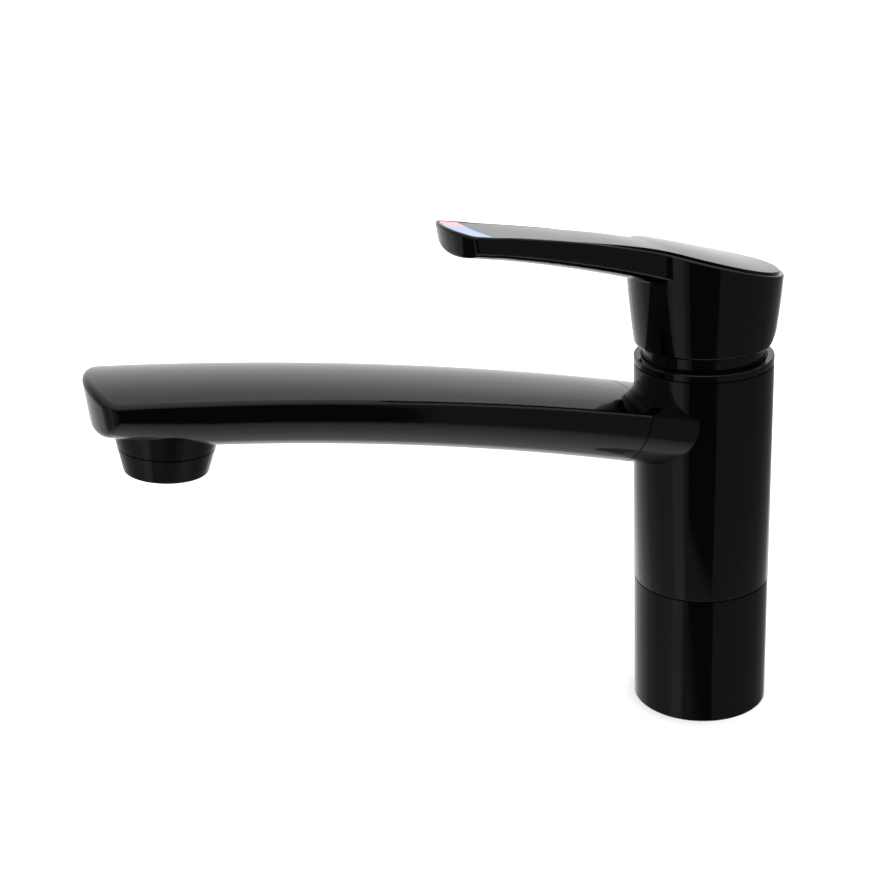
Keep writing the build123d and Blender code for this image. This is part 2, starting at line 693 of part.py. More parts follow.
# --- Handle -------------------------------------------------------------------
def lever_plan(disc_r, half, tip_half, reach, waist_r):
    """Outline from above: round end over the barrel, waisted bar, flared tip with a curved end."""
    sag = LEVER_END_R - math.sqrt(LEVER_END_R**2 - tip_half**2)
    bar = make_face([
        Line((half, 0), (half, -FLARE_START)),
        Spline((half, -FLARE_START), (tip_half, -FLARE_END), tangents=((0, -1), (0, -1))),
        Line((tip_half, -FLARE_END), (tip_half, -reach + sag)),
        ThreePointArc((tip_half, -reach + sag), (0, -reach), (-tip_half, -reach + sag)),
        Line((-tip_half, -reach + sag), (-tip_half, -FLARE_END)),
        Spline((-tip_half, -FLARE_END), (-half, -FLARE_START), tangents=((0, 1), (0, 1))),
        Line((-half, -FLARE_START), (-half, 0)),
        Line((-half, 0), (half, 0)),
    ])
    corners = bar.vertices().filter_by(lambda v: v.Y < -FLARE_END - 1)
    bar = fillet(corners, PLATE_CORNER_R)
    plan = Circle(disc_r) + bar
    reach_in = math.sqrt(disc_r**2 - half**2)
    waists = plan.vertices().filter_by(lambda v: abs(v.Y + reach_in) < 0.1)
    return fillet(waists, waist_r)


def bar_half(reach):
    """Half width of the bar: flowing out into the barrel at the root, flared at the tip."""
    centre_x = BAR_HALF + WAIST_R
    centre_reach = math.sqrt((WAIST_DISC_R + WAIST_R) ** 2 - centre_x**2)
    root = centre_reach * WAIST_DISC_R / (WAIST_DISC_R + WAIST_R)
    if reach < centre_reach:
        return centre_x - math.sqrt(WAIST_R**2 - (centre_reach - max(reach, root)) ** 2)
    share = min(max((reach - FLARE_START) / (FLARE_END - FLARE_START), 0.0), 1.0)
    return BAR_HALF + (BAR_TIP_HALF - BAR_HALF) * share * share * (3 - 2 * share)


def bar_section(reach):
    """Slice across the lever: upright sides over a half-elliptical belly."""
    half = bar_half(reach)
    side = SIDE_Z0 + SIDE_SLOPE * reach - SIDE_BOW * reach**2
    belly = BELLY_TIP + BELLY_GROWTH * max(88.0 - reach, 0.0)
    plane = Plane(origin=(0, -reach, 0), x_dir=(1, 0, 0), z_dir=(0, -1, 0))
    return plane * make_face([
        Line((-half, side + 30), (half, side + 30)),
        Line((half, side + 30), (half, side)),
        EllipticalCenterArc((0, side), half, belly, start_angle=180, arc_size=180),
        Line((-half, side), (-half, side + 30)),
    ])


def side_line(points, drop=0.0):
    """Curve in the plane of symmetry through (reach, height) points."""
    return Spline(*[(0, -reach, z - drop) for reach, z in points])


def under_top(drop=0.0):
    """Block below the handle's gently bowed top surface."""
    first = TOP_LINE[0]
    last = TOP_LINE[-1]
    line = side_line(TOP_LINE, drop)
    rest = Polyline(
        (0, -last[0], last[1] - drop),
        (0, -last[0], 100),
        (0, -first[0], 100),
        (0, -first[0], first[1] - drop),
    )
    return Pos(-40, 0, 0) * extrude(make_face([line, rest]), 80, dir=(1, 0, 0))


def lever_bar():
    """Bar of the lever up to its leaning, curved end face."""
    bar = loft([bar_section(reach) for reach in BAR_STATIONS + TIP_STATIONS])
    top = TOP_LINE[-1][1] + 1.0
    bar -= past_end(BAR_TIP_HALF + 4.0, LEVER_REACH, LEVER_END_R, LEVER_END_LEAN, top)
    outline = bar.edges().filter_by(
        lambda e: min(-v.Y for v in (e @ 0, e @ 0.5, e @ 1)) > LEVER_REACH - 8 and (e @ 0.5).Z < top - 1
    )
    return fillet(outline, LEVER_END_FILLET)


def barrel():
    outer = make_face([
        Line((0, 0, BARREL_Z[0]), (BARREL_R[0], 0, BARREL_Z[0])),
        ThreePointArc(*[(r, 0, z) for r, z in zip(BARREL_R, BARREL_Z)]),
        Line((BARREL_R[2], 0, BARREL_Z[2]), (0, 0, BARREL_Z[2])),
        Line((0, 0, BARREL_Z[2]), (0, 0, BARREL_Z[0])),
    ])
    return revolve(outer, Axis.Z)


def handle_body():
    body = (barrel() + lever_bar()) & under_top()
    top = body.faces().filter_by(lambda f: f.normal_at(f.center()).Z > 0.8).sort_by(SortBy.AREA)[-1]
    body = fillet(top.outer_wire().edges(), TOP_EDGE_FILLET)
    heel = Pos(0, 0, HEEL_Z) * Box(60, 30, 60, align=(Align.CENTER, Align.MIN, Align.MAX))
    heel -= bore_between((-40, 0, HEEL_Z), (40, 0, HEEL_Z), HEEL_R)
    body -= heel
    body -= rod(BARREL_BORE_R, BARREL_BOTTOM - 1, BARREL_CEILING)
    body += rod(BOSS_R, BOSS_BOTTOM, BARREL_CEILING + 1)
    pocket = Box(STEM_SQUARE + 2 * RUN, STEM_SQUARE + 2 * RUN, 20, align=HANGING)
    body -= Pos(0, 0, STEM_TOP + SEAT) * pocket
    body -= rod(SCREW_SHANK_R + SCREW_HOLE_PLAY, BOSS_BOTTOM, SCREW_SEAT_Z + 1)
    body -= rod(SCREW_HEAD_R + SCREW_HOLE_PLAY, SCREW_SEAT_Z, 170)
    body -= plate_prism(GROOVE) - under_top(PLATE_SINK + PLATE_T)
    return body


def plate_prism(grow=0.0):
    half = BAR_HALF - RIM + grow
    tip_half = BAR_TIP_HALF - RIM + grow
    reach = LEVER_REACH - END_RIM + grow
    plan = lever_plan(PLATE_DISC_R + grow, half, tip_half, reach, PLATE_WAIST_R)
    return Pos(0, 0, BARREL_BOTTOM) * extrude(plan, 70)


def mark_prism():
    """Strip along the lever's end that holds the two marks."""
    strip = Pos(0, 5 - MARK_REACH, 0) * Box(60, 40, 400, align=(Align.CENTER, Align.MAX, Align.CENTER))
    return strip - Pos(0, MARK_EDGE_R - MARK_REACH, 0) * Cylinder(MARK_EDGE_R, 400)


def handle_plate():
    plate = (plate_prism() & under_top(PLATE_SINK)) - under_top(PLATE_SINK + PLATE_T - SEAT)
    return plate - (mark_prism() - under_top(PLATE_SINK + MARK_T))


def mark(side):
    """Hot mark on side -1, cold mark on side +1."""
    strip = (plate_prism() & under_top(PLATE_SINK) & mark_prism()) - under_top(PLATE_SINK + MARK_T)
    outward = Align.MIN if side > 0 else Align.MAX
    half = Box(40, 400, 400, align=(outward, Align.CENTER, Align.CENTER))
    return strip & Pos(MARK_SPLIT, 0, 0) * half


def handle_screw():
    head = rod(SCREW_HEAD_R, SCREW_SEAT_Z + SEAT, SCREW_SEAT_Z + SCREW_HEAD_H)
    socket = extrude(RegularPolygon(2.0, 6), SCREW_HEAD_H)
    head -= Pos(0, 0, SCREW_SEAT_Z + SCREW_HEAD_H / 2) * socket
    return head + rod(SCREW_SHANK_R, SCREW_BOTTOM, SCREW_SEAT_Z + 1)


# --- Assembly -----------------------------------------------------------------
def turned_with_handle(shape):
    return Rot(Z=HANDLE_TURN) * shape


def pieces():
    return {
        "base_body": base_body(),
        "deck_seal": deck_seal(),
        "column_seal_lower": column_seal(ORING_LOWER_Z),
        "column_seal_upper": column_seal(ORING_UPPER_Z),
        "top_ring": top_ring(),
        "neck_cover": neck_cover(),
        "spout_sleeve": spout_sleeve(),
        "swivel_glide_lower": lower_glide(),
        "swivel_glide_upper": upper_glide(),
        "swivel_limiter": swivel_limiter(),
        "spout_shell": spout_shell(),
        "spout_nipple": spout_nipple(),
        "nipple_seal": nipple_seal(),
        "spout_set_screw": spout_set_screw(),
        "aerator_housing": aerator_housing(),
        "aerator_insert": aerator_insert(),
        "aerator_washer": aerator_washer(),
        "cartridge_seal": cartridge_seal(),
        "cartridge_base": cartridge_base(),
        "cartridge_body": cartridge_body(),
        "cartridge_nut": cartridge_nut(),
        "fixed_disc": fixed_disc(),
        "moving_disc": turned_with_handle(moving_disc()),
        "disc_carrier": turned_with_handle(disc_carrier()),
        "cartridge_rotor": turned_with_handle(rotor()),
        "pivot_pin": turned_with_handle(pivot_pin()),
        "stem": turned_with_handle(stem()),
        "handle_body": turned_with_handle(handle_body()),
        "handle_plate": turned_with_handle(handle_plate()),
        "hot_mark": turned_with_handle(mark(-1)),
        "cold_mark": turned_with_handle(mark(1)),
        "handle_screw": turned_with_handle(handle_screw()),
    }


os.makedirs("parts", exist_ok=True)
for name, shape in pieces().items():
    export_step(shape, f"parts/{name}.step")
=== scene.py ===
import json
import logging
import math
from dataclasses import dataclass
from enum import Enum

import bmesh
import bpy
import numpy as np
from mathutils import Matrix, Vector

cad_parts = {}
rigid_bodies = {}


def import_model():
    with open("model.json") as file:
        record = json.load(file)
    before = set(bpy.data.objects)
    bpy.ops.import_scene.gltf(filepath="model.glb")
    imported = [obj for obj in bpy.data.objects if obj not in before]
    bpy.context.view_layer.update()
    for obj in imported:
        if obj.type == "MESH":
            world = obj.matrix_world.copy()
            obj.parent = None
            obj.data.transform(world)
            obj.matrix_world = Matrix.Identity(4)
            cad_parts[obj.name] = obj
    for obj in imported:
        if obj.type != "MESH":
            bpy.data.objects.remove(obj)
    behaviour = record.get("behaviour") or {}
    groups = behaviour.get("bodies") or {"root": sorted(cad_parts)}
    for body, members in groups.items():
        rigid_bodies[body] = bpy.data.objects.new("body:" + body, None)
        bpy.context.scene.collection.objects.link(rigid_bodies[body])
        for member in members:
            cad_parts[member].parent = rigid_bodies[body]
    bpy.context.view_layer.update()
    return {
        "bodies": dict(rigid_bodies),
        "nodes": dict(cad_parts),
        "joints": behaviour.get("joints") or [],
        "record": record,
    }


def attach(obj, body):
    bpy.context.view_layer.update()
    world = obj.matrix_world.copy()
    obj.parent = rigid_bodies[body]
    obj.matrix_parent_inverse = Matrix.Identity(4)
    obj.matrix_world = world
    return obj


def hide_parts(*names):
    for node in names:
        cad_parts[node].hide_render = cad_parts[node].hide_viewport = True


# Looks of a gloss-black single-lever mixer tap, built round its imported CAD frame.
# Blender works in metres; sizes here are in millimetres unless they say otherwise.
# Z is up, the spout points towards -Y, and the cold side is towards +X.

LOG = logging.getLogger("mixer_tap")
MM = 0.001
MERGE = 1e-7  # metres: points closer than this are one point

Point = tuple[float, float, float]
Face = tuple[int, ...]
Stops = tuple[tuple[float, float], ...]


# --- Small helpers ------------------------------------------------------------
def srgb(code: str) -> tuple[float, float, float, float]:
    """Turns an sRGB hex colour into a linear one.

    Args:
        code: six hex digits, with or without a leading hash.

    Returns:
        Linear red, green, blue and an alpha of 1.
    """
    digits = code.lstrip("#")
    parts = [int(digits[i : i + 2], 16) / 255 for i in (0, 2, 4)]
    # the curve of the sRGB standard
    linear = [c / 12.92 if c <= 0.04045 else ((c + 0.055) / 1.055) ** 2.4 for c in parts]
    return (linear[0], linear[1], linear[2], 1.0)


def add_node(
    tree: bpy.types.NodeTree,
    kind: str,
    inputs: dict | None = None,
    **settings: object,
) -> bpy.types.Node:
    """Adds a node with its settings, values and links.

    Args:
        tree: the node tree to add to.
        kind: Blender's name for the node type.
        inputs: input name or number to a value, or to another node's output to link.
        **settings: properties of the node itself.

    Returns:
        The new node.
    """
    node = tree.nodes.new(kind)
    for name, value in settings.items():
        setattr(node, name, value)
    for key, value in (inputs or {}).items():
        if isinstance(value, bpy.types.NodeSocket):
            tree.links.new(value, node.inputs[key])
        else:
            node.inputs[key].default_value = value
    return node


def set_stops(ramp: bpy.types.ColorRamp, stops: Stops) -> None:
    """Gives a ramp grey stops, eased between.

    Args:
        ramp: the ramp to fill.
        stops: (position, brightness) pairs in rising order.
    """
    ramp.interpolation = "EASE"
    while len(ramp.elements) < len(stops):
        ramp.elements.new(1.0)
    for element, (place, level) in zip(ramp.elements, stops):
        element.position = place
        element.color = (level, level, level, 1.0)


def smooth(share: float) -> float:
    """Eases a share of 0 to 1 at both ends, and holds it there outside them."""
    t = min(1.0, max(0.0, share))
    return t * t * (3 - 2 * t)


def new_material(
    name: str,
) -> tuple[bpy.types.Material, bpy.types.NodeTree, bpy.types.Node, bpy.types.NodeSocket]:
    """Starts a node material.

    Args:
        name: the finish's name.

    Returns:
        The material, its tree, its Principled shader, and the Object coordinates.
    """
    material = bpy.data.materials.new(name)
    material.use_nodes = True
    tree = material.node_tree
    shader = tree.nodes["Principled BSDF"]
    place = add_node(tree, "ShaderNodeTexCoord")
    return material, tree, shader, place.outputs["Object"]


# --- Finishes -----------------------------------------------------------------
@dataclass(frozen=True)
class BlackLacquer:
    """Stoved gloss lacquer, sprayed over polished brass.

    It flows out before it is baked, which leaves a mirror-like skin with a very
    slight orange peel, and a little haze where it has been wiped. Inside a bare
    radius the casting keeps the brass that the lathe left.
    """

    name: str = "black_lacquer"
    pigment: str = "#000000"
    pigment_thin: str = "#030304"
    drift_per_m: float = 38.0  # patches of pigment about 26 mm across
    wipe_per_m: float = 90.0  # wipe marks about 11 mm across
    gloss: float = 0.045
    haze: float = 0.075
    peel: float = 3.2
    peel_depth: float = 0.0007
    lacquer_ior: float = 1.5
    bare_radius: float = 0.0
    bare_colour: str = "#c3a566"
    bare_roughness: float = 0.28

    def build(self) -> bpy.types.Material:
        """Makes the lacquer's material."""
        material, tree, shader, place = new_material(self.name)
        patches = add_node(
            tree,
            "ShaderNodeTexNoise",
            {"Vector": place, "Scale": self.drift_per_m, "Detail": 3.0},
        )
        tone = add_node(
            tree,
            "ShaderNodeMix",
            {"Factor": patches.outputs["Fac"], "A": srgb(self.pigment), "B": srgb(self.pigment_thin)},
            data_type="RGBA",
        )
        wiped = add_node(
            tree,
            "ShaderNodeTexNoise",
            {"Vector": place, "Scale": self.wipe_per_m, "Detail": 5.0, "Roughness": 0.6},
        )
        haze = add_node(
            tree,
            "ShaderNodeMapRange",
            {
                "Value": wiped.outputs["Fac"],
                "From Min": 0.35,
                "From Max": 0.75,
                "To Min": self.gloss,
                "To Max": self.haze,
            },
        )
        peel = add_node(
            tree,
            "ShaderNodeTexNoise",
            {"Vector": place, "Scale": 1000.0 / self.peel, "Detail": 1.0},
        )
        bump = add_node(
            tree,
            "ShaderNodeBump",
            {"Height": peel.outputs["Fac"], "Strength": 1.0, "Distance": self.peel_depth * MM},
        )
        tree.links.new(tone.outputs["Result"], shader.inputs["Base Color"])
        tree.links.new(haze.outputs["Result"], shader.inputs["Roughness"])
        tree.links.new(bump.outputs["Normal"], shader.inputs["Normal"])
        shader.inputs["IOR"].default_value = self.lacquer_ior
        if self.bare_radius:
            self.lay_bare(tree, shader, place, tone.outputs["Result"], haze.outputs["Result"])
        return material

    def lay_bare(
        self,
        tree: bpy.types.NodeTree,
        shader: bpy.types.Node,
        place: bpy.types.NodeSocket,
        tone: bpy.types.NodeSocket,
        haze: bpy.types.NodeSocket,
    ) -> None:
        """Swaps the lacquer for turned brass inside the bare radius.

        Args:
            tree: the lacquer's tree.
            shader: its Principled shader.
            place: the Object coordinates.
            tone: the lacquer's colour.
            haze: the lacquer's roughness.
        """
        level = add_node(tree, "ShaderNodeVectorMath", {0: place, 1: (1.0, 1.0, 0.0)}, operation="MULTIPLY")
        away = add_node(tree, "ShaderNodeVectorMath", {0: level.outputs[0]}, operation="LENGTH")
        bare = add_node(
            tree,
            "ShaderNodeMath",
            {0: away.outputs["Value"], 1: self.bare_radius * MM},
            operation="LESS_THAN",
        )
        metal = add_node(
            tree,
            "ShaderNodeMix",
            {"Factor": bare.outputs[0], "A": tone, "B": srgb(self.bare_colour)},
            data_type="RGBA",
        )
        dull = add_node(
            tree,
            "ShaderNodeMath",
            {0: bare.outputs[0], 1: self.bare_roughness, 2: haze},
            operation="MULTIPLY_ADD",
        )
        tree.links.new(metal.outputs["Result"], shader.inputs["Base Color"])
        tree.links.new(dull.outputs[0], shader.inputs["Roughness"])
        tree.links.new(bare.outputs[0], shader.inputs["Metallic"])


@dataclass(frozen=True)
class TurnedMetal:
    """Bar stock turned on a lathe: fine rings round the axis, a little uneven in tone."""

    name: str
    light: str
    dark: str
    roughness: float = 0.24
    ring: float = 0.5  # real feed marks are about 0.1 mm, drawn coarser so that they show
    ring_depth: float = 0.01
    drift_per_m: float = 160.0
    wave_period: float = 0.314  # the Wave texture's bands lie this far apart at a scale of 1

    def build(self) -> bpy.types.Material:
        """Makes the turned metal's material."""
        material, tree, shader, place = new_material(self.name)
        patches = add_node(
            tree,
            "ShaderNodeTexNoise",
            {"Vector": place, "Scale": self.drift_per_m, "Detail": 4.0},
        )
        tone = add_node(
            tree,
            "ShaderNodeMix",
            {"Factor": patches.outputs["Fac"], "A": srgb(self.dark), "B": srgb(self.light)},
            data_type="RGBA",
        )
        rings = add_node(
            tree,
            "ShaderNodeTexWave",
            {"Vector": place, "Scale": self.wave_period / (self.ring * MM), "Distortion": 0.4},
            bands_direction="Z",
        )
        rough = add_node(
            tree,
            "ShaderNodeMapRange",
            {
                "Value": rings.outputs["Fac"],
                "To Min": self.roughness - 0.05,
                "To Max": self.roughness + 0.08,
            },
        )
        bump = add_node(
            tree,
            "ShaderNodeBump",
            {"Height": rings.outputs["Fac"], "Strength": 0.4, "Distance": self.ring_depth * MM},
        )
        tree.links.new(tone.outputs["Result"], shader.inputs["Base Color"])
        tree.links.new(rough.outputs["Result"], shader.inputs["Roughness"])
        tree.links.new(bump.outputs["Normal"], shader.inputs["Normal"])
        shader.inputs["Metallic"].default_value = 1.0
        return material


@dataclass(frozen=True)
class Moulding:
    """A moulded, pressed or poured skin: fine grain over a tone that drifts slightly."""

    name: str
    light: str
    dark: str
    roughness: float
    grain: float
    grain_depth: float = 0.004
    sheen: float = 0.0
    ior: float = 1.5
    drift_per_m: float = 120.0
    uneven: float = 0.15

    def build(self) -> bpy.types.Material:
        """Makes the moulding's material."""
        material, tree, shader, place = new_material(self.name)
        patches = add_node(
            tree,
            "ShaderNodeTexNoise",
            {"Vector": place, "Scale": self.drift_per_m, "Detail": 3.0},
        )
        tone = add_node(
            tree,
            "ShaderNodeMix",
            {"Factor": patches.outputs["Fac"], "A": srgb(self.dark), "B": srgb(self.light)},
            data_type="RGBA",
        )
        grain = add_node(
            tree,
            "ShaderNodeTexNoise",
            {"Vector": place, "Scale": 1.0 / (self.grain * MM), "Detail": 2.0},
        )
        rough = add_node(
            tree,
            "ShaderNodeMapRange",
            {
                "Value": grain.outputs["Fac"],
                "To Min": self.roughness * (1 - self.uneven),
                "To Max": self.roughness * (1 + self.uneven),
            },
        )
        bump = add_node(
            tree,
            "ShaderNodeBump",
            {"Height": grain.outputs["Fac"], "Strength": 0.5, "Distance": self.grain_depth * MM},
        )
        tree.links.new(tone.outputs["Result"], shader.inputs["Base Color"])
        tree.links.new(rough.outputs["Result"], shader.inputs["Roughness"])
        tree.links.new(bump.outputs["Normal"], shader.inputs["Normal"])
        shader.inputs["IOR"].default_value = self.ior
        shader.inputs["Sheen Weight"].default_value = self.sheen
        return material


def make_finishes() -> dict[str, bpy.types.Material]:
    """Makes one material for each of the record's slots, and a near-black one that is painted shade on the
    glides.
    """
    finishes = {
        "black_lacquer": BlackLacquer(),
        "black_lacquer_cast": BlackLacquer(name="black_lacquer_over_cast_brass", bare_radius=18.6),
        # free-machining brass and stainless bar, straight off the lathe: bright, with feed marks
        "brass": TurnedMetal("turned_brass", "#d9bd7c", "#b5934f"),
        "stainless_steel": TurnedMetal("turned_stainless_steel", "#c9c8c6", "#9d9c9b", roughness=0.2),
        # nitrile rubber, pressed in a mould: matt black with a faint bloom
        "rubber_black": Moulding("nitrile_rubber", "#1c1c1c", "#111111", 0.62, 0.25, sheen=0.15),
        # injection-moulded acetal: waxy, half matt; natural and dyed grey grades, and a near-black copy
        # that paints the seam's shade onto the glides
        "acetal_white": Moulding("natural_acetal", "#e6e4dc", "#dad7cd", 0.38, 0.3),
        "acetal_grey": Moulding("grey_acetal", "#6d7073", "#5d6063", 0.4, 0.3),
        # painted shade: the glides down in the seam drawn as near-black acetal
        "glide_painted_shade": Moulding("glide_painted_shade_black", "#0b0b0b", "#050505", 0.45, 0.3),
        # pressed, fired and lapped alumina: creamy white, nearly polished, with a high index
        "ceramic_white": Moulding("lapped_alumina", "#efece4", "#e4e0d6", 0.16, 0.15, 0.001, ior=1.76),
        # enamel paint poured into the marks: glossy, pale and slightly uneven
        "enamel_red": Moulding("red_enamel", "#cf9aa2", "#c88f98", 0.16, 0.8, 0.0015),
        "enamel_blue": Moulding("blue_enamel", "#84a3c8", "#7b9ac1", 0.16, 0.8, 0.0015),
    }
    return {slot: finish.build() for slot, finish in finishes.items()}


# --- Pieces -------------------------------------------------------------------
def place_piece(
    name: str,
    mesh: bpy.types.Mesh,
    material: bpy.types.Material,
    body: str,
    sharp: float = 32.0,
) -> bpy.types.Object:
    """Puts a finished mesh in the scene, riding a body.

    Args:
        name: the piece's name.
        mesh: its mesh, in metres.
        material: its finish.
        body: the CAD body it moves with.
        sharp: edges bent by more degrees than this stay crisp.

    Returns:
        The new object.
    """
    mesh.materials.clear()
    mesh.materials.append(material)
    mesh.shade_smooth()
    mesh.set_sharp_from_angle(angle=math.radians(sharp))
    piece = bpy.data.objects.new(name, mesh)
    bpy.context.scene.collection.objects.link(piece)
    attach(piece, body)
    return piece


def close_mesh(name: str, points: list[Point], faces: list[Face]) -> bpy.types.Mesh:
    """Makes a mesh, merged at its seams and poles, with its normals outward.

    Args:
        name: the mesh's name.
        points: its points, in millimetres.
        faces: its faces, as point numbers.

    Returns:
        The mesh, in metres.
    """
    mesh = bpy.data.meshes.new(name)
    mesh.from_pydata([(x * MM, y * MM, z * MM) for x, y, z in points], [], faces)
    work = bmesh.new()
    work.from_mesh(mesh)
    bmesh.ops.remove_doubles(work, verts=work.verts, dist=MERGE)
    bmesh.ops.dissolve_degenerate(work, edges=work.edges, dist=MERGE)
    bmesh.ops.recalc_face_normals(work, faces=work.faces)
    work.to_mesh(mesh)
    work.free()
    return mesh


def across(steps: int) -> list[float]:
    """Gives places from -1 to 1, closest together at the ends."""
    return [-math.cos(math.pi * i / steps) for i in range(steps + 1)]


@dataclass
class SpoutSleeve:
    """The turning sleeve of the column, with the short stub the spout is fixed to."""

    radius: float = 23.0
    bottom: float = 46.0
    top: float = 123.4
    bore_radius: float = 20.4
    rebate_radius: float = 21.3
    lower_rebate: float = 8.5
    upper_rebate: float = 4.0
    rim: float = 0.35
    rim_mid: float = 0.1
    turns: int = 240

    edge_root: float = 107.65  # the spout's top edge, as a height over the distance from the axis
    edge_slope: float = 0.277
    edge_bow: float = 0.000447
    full_reach: float = 200.6
    half_root: float = 20.0
    half_gain: float = 0.4
    tip_depth: float = 18.2
    root_swell: float = 0.00012
    crown: float = 2.7
    side: float = 2.8
    seam_reach: float = 27.3
    inside_radius: float = 21.8  # where the stub starts, within the sleeve's wall
    slices: int = 48
    rows: int = 14
    settling: int = 8

    def edge(self, reach: float) -> float:
        """Gives the height of the spout's top edge at a distance from the axis."""
        return self.edge_root + self.edge_slope * reach - self.edge_bow * reach**2

    def slice_points(self, reach: float, t: float) -> Point:
        """Gives the stub's outline at one place of one upright slice.

        Args:
            reach: the slice's distance from the axis.
            t: the place across it, from -1 to 1.

        Returns:
            x, the crown's z and the bowl's z.
        """
        half = self.half_root + self.half_gain * reach / self.full_reach
        depth = self.tip_depth + self.root_swell * (self.full_reach - reach) ** 2
        edge = self.edge(reach)
        arc = (half**2 + self.crown**2) / (2 * self.crown)
        crown = edge + self.crown - arc + math.sqrt(arc**2 - (half * t) ** 2)
        bowl = edge - self.side - (depth - self.side) * math.sqrt(max(0.0, 1 - t * t))
        return half * t, crown, bowl

    def tube(self) -> tuple[list[Point], list[Face]]:
        """Turns the sleeve's wall, with eased rims and a rebate at each end."""
        low, high, r = self.bottom, self.top, self.radius
        inner, rebate = self.bore_radius, self.rebate_radius
        profile = [
            (rebate, low),
            (rebate, low + self.lower_rebate),
            (inner, low + self.lower_rebate),
            (inner, high - self.upper_rebate),
            (rebate, high - self.upper_rebate),
            (rebate, high),
            (r - self.rim, high),
            (r - self.rim_mid, high - self.rim_mid),
            (r, high - self.rim),
            (r, low + self.rim),
            (r - self.rim_mid, low + self.rim_mid),
            (r - self.rim, low),
        ]
        points, faces, n = [], [], len(profile)
        for k in range(self.turns):
            a = 2 * math.pi * k / self.turns
            points += [(p * math.cos(a), p * math.sin(a), z) for p, z in profile]
            m = (k + 1) % self.turns
            faces += [
                (k * n + i, k * n + (i + 1) % n, m * n + (i + 1) % n, m * n + i) for i in range(n)
            ]
        return points, faces

    def stub_point(self, t: float, upper: bool, share: float) -> Point:
        """Places one point of the stub.

        Args:
            t: the place across the slice, from -1 to 1.
            upper: whether it is on the crown, or on the bowl.
            share: how far along it is, from the wall at 0 to the seam at 1.

        Returns:
            The point.
        """
        lean = math.atan(self.edge_slope - 2 * self.edge_bow * self.seam_reach)
        x, _, _ = self.slice_points(self.seam_reach, t)
        start = math.sqrt(self.inside_radius**2 - x**2)
        reach, z = self.seam_reach, 0.0
        for _ in range(self.settling):
            x, high, low = self.slice_points(reach, t)
            z = high if upper else low
            end = self.seam_reach - math.tan(lean) * (z - self.edge(self.seam_reach))
            reach = start + (end - start) * share
        return x, -reach, z

    def stub(self, shift: int) -> tuple[list[Point], list[Face]]:
        """Draws the stub from inside the wall to the tilted seam.

        Args:
            shift: how many points the tube already has.

        Returns:
            The stub's points and faces.
        """
        n, rows = self.slices, self.rows
        loop = [(t, True) for t in across(n)] + [(t, False) for t in reversed(across(n))]
        points = [self.stub_point(t, upper, row / rows) for row in range(rows + 1) for t, upper in loop]
        m, faces = len(loop), []
        for row in range(rows):
            here, there = shift + row * m, shift + (row + 1) * m
            faces += [
                (here + i, here + (i + 1) % m, there + (i + 1) % m, there + i) for i in range(m)
            ]
        for row in (0, rows):
            base = shift + row * m
            faces += [(base + i, base + i + 1, base + m - 2 - i, base + m - 1 - i) for i in range(n)]
        return points, faces

    def build(self, finish: bpy.types.Material) -> bpy.types.Object:
        """Builds the sleeve in place of its CAD node."""
        points, faces = self.tube()
        more, ends = self.stub(len(points))
        mesh = close_mesh("sleeve_skin", points + more, faces + ends)
        piece = place_piece("sleeve_skin", mesh, finish, "swivel_spout")
        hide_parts("spout_sleeve")
        return piece


